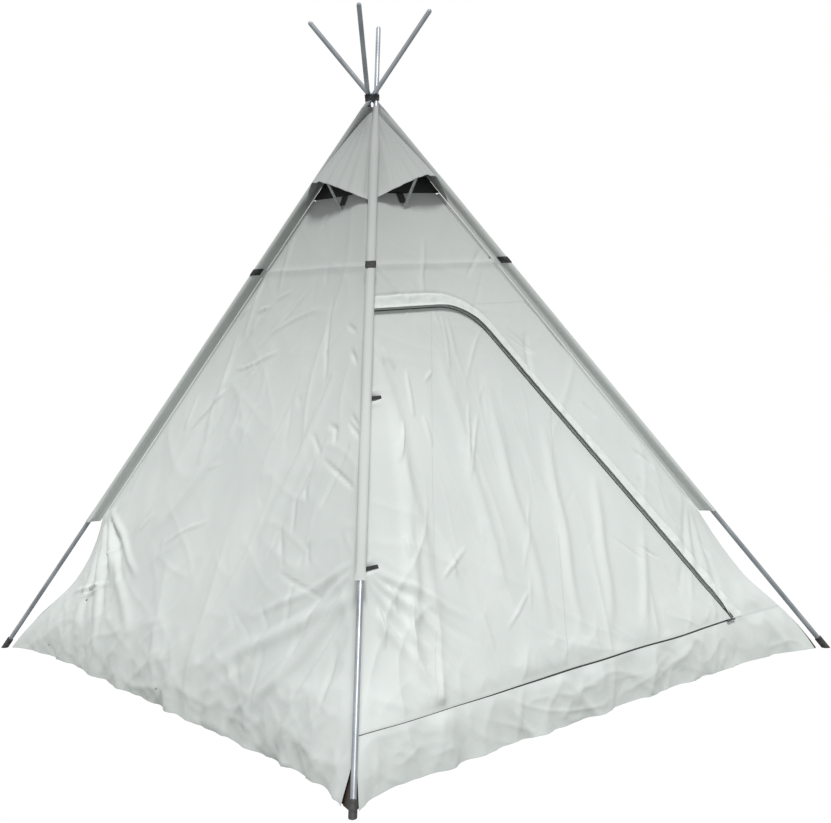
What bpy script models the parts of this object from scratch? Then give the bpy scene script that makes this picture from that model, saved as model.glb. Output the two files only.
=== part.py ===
"""Four-pole teepee tent: crossed tube poles, a fabric body hung from sleeves on the poles, a zipped door
that folds aside, and a vented hood on struts.

Metres, +Z up. The origin is on the ground at the middle of the footprint. The corners lie on the axes: the
front pole stands on -Y, the right pole on +X, the back pole on +Y and the left pole on -X. The door is in
the wall between the front and the right pole.
"""

from math import atan2, cos, hypot, pi, radians, sin, sqrt

import bmesh
import bpy
from mathutils import Matrix, Vector

# ---- driving dimensions ----
BASE_SIDE = 2.400            # from pole to pole along a wall, on the ground
CROSSING_HEIGHT = 2.230      # where the poles cross
POLE_LENGTH = 3.200          # whole pole, from the ground to its tip
POLE_DIAMETER = 0.019
POLE_WALL = 0.0013
CROSSING_OFFSET = 0.0160     # how far each pole passes beside the tent's axis
JOINT_SPIGOT = 0.080         # the reduced end that plugs into the section below

GAP = 0.0003                 # between pieces that touch
SEAM_GAP = 0.0005            # between sewn fabric panels
CLOTH = 0.003                # thickness of the fabric solids
SMOOTH_SIDES = 16            # facets round a pole
SLEEVE_SIDES = 24            # facets round a sleeve

FOOT_CAP_RADIUS = 0.0130
FOOT_CAP_LENGTH = 0.050
FOOT_CAP_FLOOR = 0.014       # rubber under the end of the pole
FOOT_CAP_BEVEL = 0.001

WALL_INSET = 0.040           # the wall plane lies this far inside the line of the feet
APEX_DROP = 0.050            # the wall planes meet this far below the crossing
HEM_INSET = 0.100            # the hem on the ground, inside the line of the feet
SILL_HEIGHT = 0.170          # top of the skirt, where the door begins
SEAM_DROP = 0.667            # the panel seam, below the crossing
VENT_SILL_DROP = 0.385       # bottom of the vents, below the crossing
MESH_TOP_DROP = 0.090        # top of the vent mesh, below the crossing

SLEEVE_EASE = 0.0008         # between a pole and its sleeve
SLEEVE_BORE = POLE_DIAMETER / 2 + SLEEVE_EASE
SLEEVE_RADIUS = SLEEVE_BORE + 0.0028
SLEEVE_CAP = 0.001           # the closed seam at a sleeve's top
SLEEVE_WEB = 0.0024          # the seam allowance that ties sleeve and wall
SLEEVE_END_HEIGHT = 0.566
SLEEVE_TOP_DROP = 0.036
BAND_HEIGHT = 1.572          # the keeper band round each sleeve
BAND_WIDTH = 0.024
BAND_THICKNESS = 0.0018
BAND_OPENING = 40            # degrees left open each side of the sleeve's seam

LASHING_HALF_HEIGHT = 0.012
LASHING_THICKNESS = 0.0025
LASHING_POINTS = 40

HEADER_HEIGHT = 0.180        # from the door arch up to the panel seam, along the wall
SIDE_PANEL_TOP = 0.349       # from the door to the right corner, at the arch
SIDE_PANEL_FOOT = 0.280      # the same at the sill
ARCH_RADIUS = 0.220
ARCH_STEPS = 6
DOOR_STRIPS = 3              # the door folds along lines beside the front pole
ZIP_WIDTH = 0.006
ZIP_SLOT = 0.010             # the slot between door and wall that holds a zip
ZIP_DEPTH = 0.0025           # how deep a zip sits in its slot
ZIP_PROUD = 0.0005           # how far it stands out of it
ZIP_START = 0.004            # from the front corner to the sill zip
PLACKET_WIDTH = 0.055
PLACKET_THICKNESS = 0.002
PLACKET_INSET = 0.002        # from the zip's slot
PLACKET_START = 0.030        # from the front corner

SLIDER_LENGTH = 0.016
SLIDER_WIDTH = 0.009
SLIDER_THICKNESS = 0.0035
TAB_LENGTH = 0.028
TAB_WIDTH = 0.0065
TAB_THICKNESS = 0.0014
TIE_LENGTH = 0.055
TIE_WIDTH = 0.012
TIE_THICKNESS = 0.0016
TIE_INSET = 0.016            # from the front corner
TIE_HEIGHTS = (0.600, 1.110)

HOOD_HINGE_DROP = 0.110      # the flaps' hinges, below the crossing
HOOD_STANDOFF = 0.006        # hinge to wall plane
HOOD_LENGTH = 0.300
HOOD_TOP_HALF = 0.022
HOOD_FOOT_HALF = 0.150
HOOD_OPEN = 14.6             # degrees off the wall plane
STRUT_OUT = 45.0             # degrees between the strut and the wall's normal
STRUT_WIDTH = 0.014
STRUT_THICKNESS = 0.0024
STRUT_LEAN = 0.035           # the strut's foot stands this far towards the front or back pole

GUSSET_HEIGHT = 0.130
GUSSET_REACH = 0.080         # along the hem, each side of the corner

# ---- places that follow from the driving dimensions ----
FOOT_RADIUS = BASE_SIDE / sqrt(2)
WALL_FOOT = BASE_SIDE / 2 - WALL_INSET
WALL_APEX = CROSSING_HEIGHT - APEX_DROP
WALL_SLOPE = hypot(WALL_FOOT, WALL_APEX)
WALL_ANGLE = atan2(WALL_FOOT, WALL_APEX)
HEM = BASE_SIDE / 2 - HEM_INSET
CORNERS = {"front": -90, "right": 0, "back": 90, "left": 180}
FACES = {"front_right": -45, "back_right": 45, "back_left": 135, "front_left": 225}


def slope_at(height):
    """Distance up the wall plane at a height above the ground."""
    return height * WALL_SLOPE / WALL_APEX


SILL = slope_at(SILL_HEIGHT)
SEAM = slope_at(CROSSING_HEIGHT - SEAM_DROP)
VENT_SILL = slope_at(CROSSING_HEIGHT - VENT_SILL_DROP)
ARCH = SEAM - HEADER_HEIGHT


def half_width(slope, out=0.0):
    """Half the wall's width at a distance up its plane, at a distance out from it."""
    return WALL_FOOT * (1 - slope / WALL_SLOPE) + out * cos(WALL_ANGLE)


def heading(angle):
    """The level unit vector at an angle in degrees, counted from +X."""
    return Vector((cos(radians(angle)), sin(radians(angle)), 0))


def wall_frame(face):
    """Wall coordinates to the world: x to the right seen from outside, y up the slope, z outwards."""
    outward = heading(FACES[face])
    right = Vector((-outward.y, outward.x, 0))
    up = (Vector((0, 0, WALL_APEX)) - outward * WALL_FOOT) / WALL_SLOPE
    normal = right.cross(up)
    frame = Matrix((right, up, normal)).transposed().to_4x4()
    frame.translation = outward * WALL_FOOT
    return frame


def pole_line(corner):
    """The foot of a pole's axis, its direction, and the direction it is shifted in at the crossing."""
    outward = heading(CORNERS[corner])
    shift = Vector((-outward.y, outward.x, 0))
    foot = outward * FOOT_RADIUS
    crossing = Vector((0, 0, CROSSING_HEIGHT)) + shift * CROSSING_OFFSET
    return foot, (crossing - foot).normalized(), shift


def material(name, colour, roughness, metallic=0.0):
    made = bpy.data.materials.new(name)
    made.use_nodes = True
    made.diffuse_color = (*colour, 1)
    shader = made.node_tree.nodes["Principled BSDF"]
    shader.inputs["Base Color"].default_value = (*colour, 1)
    shader.inputs["Roughness"].default_value = roughness
    shader.inputs["Metallic"].default_value = metallic
    return made


def add_object(name, bm, finish, pivot=None, smooth=False):
    """Links a finished bmesh as an object. With a pivot, the object's origin sits on its joint's axis."""
    bmesh.ops.remove_doubles(bm, verts=bm.verts, dist=1e-6)
    bmesh.ops.recalc_face_normals(bm, faces=bm.faces)
    mesh = bpy.data.meshes.new(name)
    bm.to_mesh(mesh)
    bm.free()
    if smooth:
        mesh.shade_smooth()
        mesh.set_sharp_from_angle(angle=radians(35))
    mesh.materials.append(finish)
    made = bpy.data.objects.new(name, mesh)
    bpy.context.collection.objects.link(made)
    if pivot is not None:
        mesh.transform(Matrix.Translation(-pivot))
        made.location = pivot
    return made


def loft(rings, closed=False):
    """A solid through rings of points. A closed loft joins its last ring to the first, others get caps."""
    bm = bmesh.new()
    rows = [[bm.verts.new(point) for point in ring] for ring in rings]
    pairs = list(zip(rows, rows[1:]))
    if closed:
        pairs.append((rows[-1], rows[0]))
    else:
        bm.faces.new(rows[0])
        bm.faces.new(rows[-1])
    for low, high in pairs:
        for i in range(len(low)):
            j = (i + 1) % len(low)
            bm.faces.new((low[i], low[j], high[j], high[i]))
    return bm


def turned(profile, start, direction, sides=SMOOTH_SIDES):
    """Spins a profile of (radius, distance along) about an axis. A profile off the axis closes on itself."""
    bm = bmesh.new()
    verts = [bm.verts.new((radius, 0, along)) for radius, along in profile]
    edges = [bm.edges.new(pair) for pair in zip(verts, verts[1:])]
    if profile[0][0] > 0:
        edges.append(bm.edges.new((verts[-1], verts[0])))
    bmesh.ops.spin(bm, geom=verts + edges, cent=(0, 0, 0), axis=(0, 0, 1), angle=2 * pi, steps=sides)
    bmesh.ops.remove_doubles(bm, verts=bm.verts, dist=1e-6)
    turn = Vector((0, 0, 1)).rotation_difference(direction).to_matrix().to_4x4()
    bm.transform(Matrix.Translation(start) @ turn)
    return bm


def slab(face, outline, inner=-CLOTH, outer=0.0):
    """A flat piece of the wall: an outline in wall coordinates, parted where it meets a corner."""
    bm = bmesh.new()
    base = bm.faces.new([bm.verts.new((x, y, inner)) for x, y in outline])
    lifted = bmesh.ops.extrude_face_region(bm, geom=[base])["geom"]
    top = [v for v in lifted if isinstance(v, bmesh.types.BMVert)]
    bmesh.ops.translate(bm, verts=top, vec=(0, 0, outer - inner))
    for v in bm.verts:
        edge = half_width(v.co.y, v.co.z) - SEAM_GAP
        v.co.x = max(-edge, min(edge, v.co.x))
    bm.transform(wall_frame(face))
    return bm


def full_width(low, high):
    """The outline of a wall panel from corner to corner."""
    return [
        (-half_width(low), low),
        (half_width(low), low),
        (half_width(high), high),
        (-half_width(high), high),
    ]


# ---- poles ----
def tube_profile(low, high, spigot_below, closed_tip):
    """The turned profile of one pole section, from the inside of its lower end round to its outside."""
    outer = POLE_DIAMETER / 2
    bore = outer - POLE_WALL
    plug = bore - GAP
    neck = plug - POLE_WALL
    inside = [(bore, low)]
    outside = [(outer, low)]
    if spigot_below:
        inside = [(bore, low + 2 * POLE_WALL), (neck, low), (neck, low - JOINT_SPIGOT)]
        outside = [(plug, low - JOINT_SPIGOT), (plug, low), (outer, low + POLE_WALL)]
    if closed_tip:
        dome = [(outer * cos(a), high - outer + outer * sin(a)) for a in (0, pi / 6, pi / 3)]
        hollow = high - outer
        return [(0, hollow), (bore, hollow), *inside, *outside, *dome, (0, high)]
    return [(bore, high), *inside, *outside, (outer, high)]


def build_poles(steel):
    section = POLE_LENGTH / 3
    base = FOOT_CAP_FLOOR + GAP
    stops = (base, section, 2 * section, POLE_LENGTH)
    for corner in CORNERS:
        foot, direction, _ = pole_line(corner)
        for i, part in enumerate(("lower", "middle", "upper")):
            low = stops[i] + (GAP if i else 0)
            profile = tube_profile(low, stops[i + 1], spigot_below=i > 0, closed_tip=i == 2)
            add_object(f"pole_{corner}_{part}", turned(profile, foot, direction), steel, smooth=True)


def build_foot_caps(rubber):
    """Cups on the poles' feet, cut level so that they stand flat."""
    bore = POLE_DIAMETER / 2 + GAP
    for corner in CORNERS:
        foot, direction, _ = pole_line(corner)
        profile = [
            (0, FOOT_CAP_FLOOR),
            (bore, FOOT_CAP_FLOOR),
            (bore, FOOT_CAP_LENGTH),
            (FOOT_CAP_RADIUS - FOOT_CAP_BEVEL, FOOT_CAP_LENGTH),
            (FOOT_CAP_RADIUS, FOOT_CAP_LENGTH - FOOT_CAP_BEVEL),
            (FOOT_CAP_RADIUS, 0),
            (0, 0),
        ]
        bm = turned(profile, foot, direction)
        for v in bm.verts:
            if (v.co - foot).dot(direction) < 1e-5:
                v.co -= direction * (v.co.z / direction.z)
                v.co.z = 0
        add_object(f"foot_cap_{corner}", bm, rubber, smooth=True)


def build_lashing(webbing):
    """The strap round the crossing: the outline of the four poles, level by level, wrapped tight."""
    lines = [pole_line(corner) for corner in CORNERS]
    radius = POLE_DIAMETER / 2

    def wrapped(height, clearance):
        ring = []
        for i in range(LASHING_POINTS):
            look = heading(360 * i / LASHING_POINTS)
            best = None
            for foot, direction, shift in lines:
                centre = foot + direction * (height / direction.z)
                along = Vector((direction.x, direction.y, 0)).normalized()
                across = Vector((-along.y, along.x, 0))
                long = radius / direction.z
                reach = hypot(long * along.dot(look), radius * across.dot(look))
                edge = along * (long**2 * along.dot(look)) + across * (radius**2 * across.dot(look))
                edge = centre + edge / reach
                if best is None or edge.dot(look) > best.dot(look):
                    best = edge
            ring.append(best + look * clearance)
        return ring

    levels = [CROSSING_HEIGHT + step * LASHING_HALF_HEIGHT / 2 for step in (-2, -1, 0, 1, 2)]
    outside = [wrapped(z, 2 * GAP + LASHING_THICKNESS) for z in levels]
    inside = [wrapped(z, 2 * GAP) for z in reversed(levels)]
    add_object("lashing_strap", loft(outside + inside, closed=True), webbing, smooth=True)


# ---- sleeves ----
def web_tip(corner, height):
    """Where a sleeve's seam meets the corner of the walls."""
    slope = slope_at(height)
    return heading(CORNERS[corner]) * ((half_width(slope) + 2 * SEAM_GAP) * sqrt(2)) + Vector((0, 0, height))


def build_sleeves(cloth):
    """A fabric tube round each pole, tied to the walls' corner by its seam."""
    mesh_top = CROSSING_HEIGHT - MESH_TOP_DROP
    top = CROSSING_HEIGHT - SLEEVE_TOP_DROP
    for corner in CORNERS:
        foot, direction, _ = pole_line(corner)
        outer_rings, inner_rings = [], []
        for height in (SLEEVE_END_HEIGHT, mesh_top, top):
            centre = foot + direction * (height / direction.z)
            along = Vector((direction.x, direction.y, 0)).normalized()
            across = Vector((-along.y, along.x, 0))

            def ring_point(angle, radius):
                return centre + along * (radius * cos(angle) / direction.z) + across * (radius * sin(angle))

            tip = web_tip(corner, height) if height < top else ring_point(0, SLEEVE_RADIUS + SLEEVE_CAP)
            seam = tip - centre
            turn = atan2(seam.dot(across), seam.dot(along) * direction.z)
            side = Vector((-seam.y, seam.x, 0)).normalized() * (SLEEVE_WEB / 2)
            root = SLEEVE_WEB / 2 / SLEEVE_RADIUS
            share = (2 * pi - 2 * root) / (SLEEVE_SIDES - 3)
            angles = [turn + root + share * i for i in range(SLEEVE_SIDES - 2)]
            outer_rings.append([tip - side, tip + side] + [ring_point(a, SLEEVE_RADIUS) for a in angles])
            step = 2 * pi / SLEEVE_SIDES
            bore = [ring_point(turn + step * (i - 0.5), SLEEVE_BORE) for i in range(SLEEVE_SIDES)]
            inner_rings.append(bore)
        tube = loft(outer_rings + inner_rings[::-1], closed=True)
        add_object(f"sleeve_{corner}", tube, cloth, smooth=True)


def build_sleeve_bands(webbing):
    """A short webbing band that grips each sleeve, open where the seam leaves it."""
    inside = (SLEEVE_RADIUS + GAP) / cos(pi / SLEEVE_SIDES)
    outside = inside + BAND_THICKNESS
    start, end = radians(BAND_OPENING), radians(360 - BAND_OPENING)
    for corner in CORNERS:
        foot, direction, _ = pole_line(corner)
        centre = foot + direction * (BAND_HEIGHT / direction.z)
        seam = web_tip(corner, BAND_HEIGHT) - centre
        seam = (seam - direction * seam.dot(direction)).normalized()
        across = direction.cross(seam)
        sweep = [start + (end - start) * i / SLEEVE_SIDES for i in range(SLEEVE_SIDES + 1)]
        arc = [(seam * cos(a) + across * sin(a), outside) for a in sweep]
        arc += [(seam * cos(a) + across * sin(a), inside) for a in reversed(sweep)]
        rings = [
            [centre + spoke * radius + direction * side for spoke, radius in arc]
            for side in (-BAND_WIDTH / 2, BAND_WIDTH / 2)
        ]
        add_object(f"sleeve_band_{corner}", loft(rings), webbing, smooth=True)


# ---- fabric body ----
def folded_wall(face, top):
    """A wall from the hem up, bent where the skirt meets the wall plane."""
    outward = heading(FACES[face])
    right = Vector((-outward.y, outward.x, 0))
    lean_in = Vector((cos(WALL_ANGLE), sin(WALL_ANGLE)))
    sill_out = half_width(SILL)
    top_out = half_width(top)
    top_height = top * cos(WALL_ANGLE)
    level = CLOTH / cos(WALL_ANGLE)
    sections = [
        ((HEM, 0), (HEM - level, 0)),
        ((sill_out, SILL_HEIGHT), (sill_out - level, SILL_HEIGHT)),
        ((top_out, top_height), (top_out - CLOTH * lean_in.x, top_height - CLOTH * lean_in.y)),
    ]
    rings = []
    for (out_a, z_a), (out_b, z_b) in sections:
        a, b = out_a - SEAM_GAP, out_b - SEAM_GAP
        rings.append([
            outward * out_a - right * a + Vector((0, 0, z_a)),
            outward * out_a + right * a + Vector((0, 0, z_a)),
            outward * out_b + right * b + Vector((0, 0, z_b)),
            outward * out_b - right * b + Vector((0, 0, z_b)),
        ])
    return rings


def build_walls(cloth):
    add_object("wall_front_left", loft(folded_wall("front_left", SEAM - SEAM_GAP)), cloth)
    add_object("upper_panel_front_left", slab("front_left", full_width(SEAM, VENT_SILL)), cloth)
    for face in ("back_left", "back_right"):
        add_object(f"wall_{face}", loft(folded_wall(face, VENT_SILL)), cloth)
    add_object("upper_panel_front_right", slab("front_right", full_width(SEAM, VENT_SILL)), cloth)

    header_foot = ARCH + ZIP_SLOT / 2
    add_object("door_header", slab("front_right", full_width(header_foot, SEAM - SEAM_GAP)), cloth)

    edge = arch_path(ZIP_SLOT / 2, SILL)
    arc_end = edge[-2]
    side = [edge[-1], (half_width(SILL), SILL)]
    side += [(half_width(header_foot - SEAM_GAP), header_foot - SEAM_GAP)]
    side += [(p[0], min(p[1], header_foot - SEAM_GAP)) for p in edge[2:-2]] + [arc_end]
    add_object("door_side_panel", slab("front_right", side), cloth)

    skirt, rim = folded_wall("front_right", SEAM)[:2]
    drops = (0, 0, CLOTH * sin(WALL_ANGLE), CLOTH * sin(WALL_ANGLE))
    rim = [point - Vector((0, 0, ZIP_SLOT / 2 + SEAM_GAP + drop)) for point, drop in zip(rim, drops)]
    add_object("door_sill_panel", loft([skirt, rim]), cloth)


def build_floor(groundsheet):
    half = HEM - CLOTH / cos(WALL_ANGLE) - 2 * SEAM_GAP
    corners = [heading(a) * (half * sqrt(2)) for a in CORNERS.values()]
    rings = [[c + Vector((0, 0, z)) for c in corners] for z in (0, CLOTH)]
    add_object("floor_sheet", loft(rings), groundsheet)


def build_gussets(groundsheet):
    """The groundsheet's corners, pulled out to the poles' feet."""
    lift = SEAM_GAP
    for corner in CORNERS:
        outward = heading(CORNERS[corner])
        across = Vector((-outward.y, outward.x, 0))
        share = GUSSET_HEIGHT / SILL_HEIGHT
        high = HEM + (half_width(SILL) - HEM) * share
        peak = outward * ((high + lift) * sqrt(2)) + Vector((0, 0, GUSSET_HEIGHT))
        heel = outward * ((HEM + lift) * sqrt(2))
        reach = GUSSET_REACH / sqrt(2)
        sides = [heel - outward * reach + across * reach * s for s in (-1, 1)]
        cap_reach = FOOT_CAP_RADIUS / sin(atan2(CROSSING_HEIGHT, FOOT_RADIUS))
        toe = outward * (FOOT_RADIUS - cap_reach - 2 * GAP)
        bm = bmesh.new()
        top, back, toe_v = (bm.verts.new(p) for p in (peak, heel, toe))
        for side in sides:
            s = bm.verts.new(side)
            bm.faces.new((top, s, toe_v))
            bm.faces.new((top, back, s))
            bm.faces.new((s, back, toe_v))
        add_object(f"corner_gusset_{corner}", bm, groundsheet)


# ---- door ----
def arch_path(offset, foot):
    """The zip's line in wall coordinates, from the front pole over the arch and down to the sill.

    A positive offset moves it away from the door.
    """
    high = (half_width(ARCH) - SIDE_PANEL_TOP, ARCH)
    low = (half_width(SILL) - SIDE_PANEL_FOOT, SILL)
    run = hypot(low[0] - high[0], low[1] - high[1])
    down = ((low[0] - high[0]) / run, (low[1] - high[1]) / run)
    normal = (-down[1], down[0])
    centre = (high[0] - ARCH_RADIUS * (1 - normal[1]) / normal[0], ARCH - ARCH_RADIUS)
    radius = ARCH_RADIUS + offset
    start, end = pi / 2, atan2(normal[1], normal[0])
    arc = []
    for i in range(ARCH_STEPS + 1):
        a = start + (end - start) * i / ARCH_STEPS
        arc.append((centre[0] + radius * cos(a), centre[1] + radius * sin(a)))
    travel = (arc[-1][1] - foot) / -down[1]
    foot_point = (arc[-1][0] + down[0] * travel, foot)
    return [(-half_width(ARCH + offset), ARCH + offset), *arc, foot_point]


def strip_outline(low, high):
    """The part of the door between two fold lines, given by their distances from the front corner."""
    foot = SILL + ZIP_SLOT / 2
    bm = bmesh.new()
    path = arch_path(-ZIP_SLOT / 2, foot)
    bm.faces.new([bm.verts.new((x, y, 0)) for x, y in [(-half_width(foot), foot), *reversed(path)]])
    fold = Vector((WALL_FOOT, WALL_SLOPE, 0)).normalized()
    side = Vector((fold.y, -fold.x, 0))
    for distance, keeps_right in ((low, True), (high, False)):
        if distance is None:
            continue
        point = Vector((-half_width(foot) + distance, foot, 0))
        geometry = bm.verts[:] + bm.edges[:] + bm.faces[:]
        bmesh.ops.bisect_plane(
            bm,
            geom=geometry,
            plane_co=point,
            plane_no=side,
            clear_inner=keeps_right,
            clear_outer=not keeps_right,
        )
    outline = [(v.co.x, v.co.y) for v in bm.faces[:][0].verts]
    bm.free()
    return outline


def fold_lines():
    """Distances from the front corner of the door's hinge lines, at the sill."""
    width = arch_path(0, SILL)[-1][0] + half_width(SILL)
    return [width * i / DOOR_STRIPS for i in range(DOOR_STRIPS)]


def build_door(cloth):
    frame = wall_frame("front_right")
    lines = fold_lines()
    names = ("door_inner_strip", "door_middle_strip", "door_outer_strip")
    foot = SILL + ZIP_SLOT / 2
    for i, name in enumerate(names):
        low = lines[i] + SEAM_GAP / 2 if i else None
        high = lines[i + 1] - SEAM_GAP / 2 if i + 1 < DOOR_STRIPS else None
        pivot = frame @ Vector((-half_width(foot) + lines[i], foot, 0))
        add_object(name, slab("front_right", strip_outline(low, high)), cloth, pivot=pivot)


def ribbon(face, inner_path, outer_path, inner, outer):
    """A flat band between two paths of as many points."""
    return slab(face, [*inner_path, *reversed(outer_path)], inner, outer)


def build_zips(coil, cloth):
    """Each zip lies against the fixed side of its slot."""
    fixed = ZIP_SLOT / 2 - SEAM_GAP
    chain = [arch_path(offset, SILL + ZIP_SLOT / 2) for offset in (fixed - ZIP_WIDTH, fixed)]
    start = -half_width(ARCH) + 2 * SEAM_GAP
    for path in chain:
        path[0] = (start, path[0][1])
    add_object("zip_side_chain", ribbon("front_right", *chain, -ZIP_DEPTH, ZIP_PROUD), coil)

    right = arch_path(0, SILL)[-1][0]
    left = -half_width(SILL) + ZIP_START
    low = SILL - ZIP_SLOT / 2 + SEAM_GAP
    high = low + ZIP_WIDTH
    bar = [(left, low), (right, low), (right, high), (left, high)]
    add_object("zip_sill_chain", slab("front_right", bar, -ZIP_DEPTH, ZIP_PROUD), coil)

    near = ZIP_SLOT / 2 + PLACKET_INSET
    flap = [arch_path(near + width, SILL + PLACKET_INSET) for width in (0, PLACKET_WIDTH)]
    for path in flap:
        path[0] = (-half_width(ARCH) + PLACKET_START, path[0][1])
    back = 2 * GAP
    add_object("zip_placket", ribbon("front_right", *flap, back, back + PLACKET_THICKNESS), cloth)


def build_slider(name, face, place, along, metal):
    """A zip slider over its chain with a pull tab at its lower end. `along` points from tab to slider."""
    frame = wall_frame(face)
    side = Vector((along.y, -along.x, 0))
    lift = Vector((0, 0, ZIP_PROUD + GAP))

    def block(length, width, low, high, shift):
        rings = []
        for z in (low, high):
            ring = []
            for a, b in ((-1, -1), (1, -1), (1, 1), (-1, 1)):
                flat = along * (shift + a * length / 2) + side * (b * width / 2)
                ring.append(frame @ (place + lift + flat + Vector((0, 0, z))))
            rings.append(ring)
        return loft(rings)

    body = block(SLIDER_LENGTH, SLIDER_WIDTH, 0, SLIDER_THICKNESS, 0)
    add_object(name, body, metal, pivot=frame @ place)
    shift = -SLIDER_LENGTH / 2 - TAB_LENGTH / 2 - TAB_THICKNESS / 2 - GAP
    low = SLIDER_THICKNESS - TAB_THICKNESS
    tab = block(TAB_LENGTH, TAB_WIDTH, low, SLIDER_THICKNESS, shift)
    hinge = place + lift + along * (shift + TAB_LENGTH / 2) + Vector((0, 0, low + TAB_THICKNESS / 2))
    add_object(f"{name}_tab", tab, metal, pivot=frame @ hinge)


def build_sliders(metal):
    side = arch_path(ZIP_SLOT / 2 - SEAM_GAP - ZIP_WIDTH / 2, SILL)
    foot, above = Vector((*side[-1], 0)), Vector((*side[-2], 0))
    along = (above - foot).normalized()
    build_slider("zip_side_slider", "front_right", foot + along * (TAB_LENGTH + SLIDER_LENGTH), along, metal)
    middle = SILL - ZIP_SLOT / 2 + SEAM_GAP + ZIP_WIDTH / 2
    right = arch_path(0, SILL)[-1][0] - 2 * SLIDER_LENGTH
    build_slider("zip_sill_slider", "front_right", Vector((right, middle, 0)), Vector((-1, 0, 0)), metal)


def build_ties(webbing):
    """Webbing loops sewn by the door's hinge edge, lying on the door until they hold it rolled."""
    frame = wall_frame("front_right")
    low = 2 * GAP
    high = low + TIE_THICKNESS
    for name, height in zip(("door_tie_lower", "door_tie_upper"), TIE_HEIGHTS):
        y = slope_at(height)
        x = -half_width(y) + TIE_INSET
        rings = []
        for z in (low, high):
            rings.append([
                frame @ Vector((x + a * TIE_LENGTH, y + b * TIE_WIDTH / 2, z))
                for a, b in ((0, -1), (1, -1), (1, 1), (0, 1))
            ])
        add_object(name, loft(rings), webbing, pivot=frame @ Vector((x, y, low)))


# ---- hood and vents ----
def build_vent_mesh(net):
    """The four vents as one sleeve of mesh, from the vent sills to just under the crossing."""
    low = CROSSING_HEIGHT - VENT_SILL_DROP + SEAM_GAP
    high = CROSSING_HEIGHT - MESH_TOP_DROP
    level = CLOTH / cos(WALL_ANGLE)

    def square(height, inward):
        reach = half_width(slope_at(height)) - inward
        return [heading(a) * (reach * sqrt(2)) + Vector((0, 0, height)) for a in CORNERS.values()]

    rings = [square(low, 0), square(high, 0), square(high, level), square(low, level)]
    add_object("vent_mesh", loft(rings, closed=True), net)


def build_hood(cloth, stay):
    hinge_height = CROSSING_HEIGHT - HOOD_HINGE_DROP
    hinge_out = half_width(slope_at(hinge_height)) + HOOD_STANDOFF
    open_angle = WALL_ANGLE + radians(HOOD_OPEN)
    pivot_reach = HOOD_LENGTH + GAP + STRUT_THICKNESS / 2
    wall_gap = HOOD_STANDOFF * cos(WALL_ANGLE)
    reach = wall_gap + pivot_reach * sin(radians(HOOD_OPEN)) - STRUT_THICKNESS / 2 - 2 * GAP
    strut_length = reach / cos(radians(STRUT_OUT))
    strut_angle = WALL_ANGLE + radians(STRUT_OUT) - pi / 2
    leans = {"front_right": -1, "front_left": 1, "back_right": 1, "back_left": -1}
    for face, angle in FACES.items():
        outward = heading(angle)
        right = Vector((-outward.y, outward.x, 0))
        hinge = outward * hinge_out + Vector((0, 0, hinge_height))
        down = outward * sin(open_angle) - Vector((0, 0, cos(open_angle)))
        thick = right.cross(down) * (CLOTH / 2)
        square = ((-1, -1), (1, -1), (1, 1), (-1, 1))
        rings = []
        for distance, half in ((0, HOOD_TOP_HALF), (HOOD_LENGTH, HOOD_FOOT_HALF)):
            middle = hinge + down * distance
            rings.append([middle + right * half * s + thick * t for s, t in square])
        add_object(f"hood_flap_{face}", loft(rings), cloth, pivot=hinge)

        elbow = hinge + down * pivot_reach
        away = outward * sin(strut_angle) - Vector((0, 0, cos(strut_angle)))
        lean = right * (STRUT_LEAN * leans[face] / strut_length)
        normal = right.cross(away)
        radius = STRUT_THICKNESS / 2
        half_round = [pi / 2 + pi * i / 4 for i in range(5)]
        outline = [(radius * cos(a), radius * sin(a)) for a in half_round]
        outline += [(strut_length - x, -y) for x, y in outline]
        rings = [
            [elbow + (away + lean) * x + normal * y + right * (STRUT_WIDTH / 2 * s) for x, y in outline]
            for s in (-1, 1)
        ]
        add_object(f"vent_strut_{face}", loft(rings), stay, pivot=elbow)


def main():
    for old in list(bpy.data.objects):
        bpy.data.objects.remove(old, do_unlink=True)
    cloth = material("tent_cloth", (0.60, 0.64, 0.61), 0.75)
    groundsheet = material("groundsheet", (0.045, 0.032, 0.028), 0.6)
    webbing = material("black_webbing", (0.02, 0.02, 0.022), 0.8)
    net = material("vent_net", (0.03, 0.035, 0.035), 0.9)
    steel = material("coated_steel_tube", (0.33, 0.35, 0.37), 0.35, 0.9)
    rubber = material("foot_rubber", (0.03, 0.03, 0.032), 0.7)
    coil = material("zip_coil", (0.12, 0.13, 0.12), 0.5)
    metal = material("zip_metal", (0.10, 0.10, 0.11), 0.4, 0.8)
    stay = material("strut_plastic", (0.30, 0.32, 0.32), 0.55)

    build_poles(steel)
    build_foot_caps(rubber)
    build_lashing(webbing)
    build_sleeves(cloth)
    build_sleeve_bands(webbing)
    build_walls(cloth)
    build_floor(groundsheet)
    build_gussets(groundsheet)
    build_door(cloth)
    build_zips(coil, cloth)
    build_sliders(metal)
    build_ties(webbing)
    build_vent_mesh(net)
    build_hood(cloth, stay)


main()
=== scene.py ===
"""Four-pole teepee tent. The poles keep their shapes; cloth and zips are modelled over the plain panels."""

from math import atan2, cos, exp, hypot, pi, radians, sin, sqrt

import bmesh
import bpy
from mathutils import Matrix, Vector, noise


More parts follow.
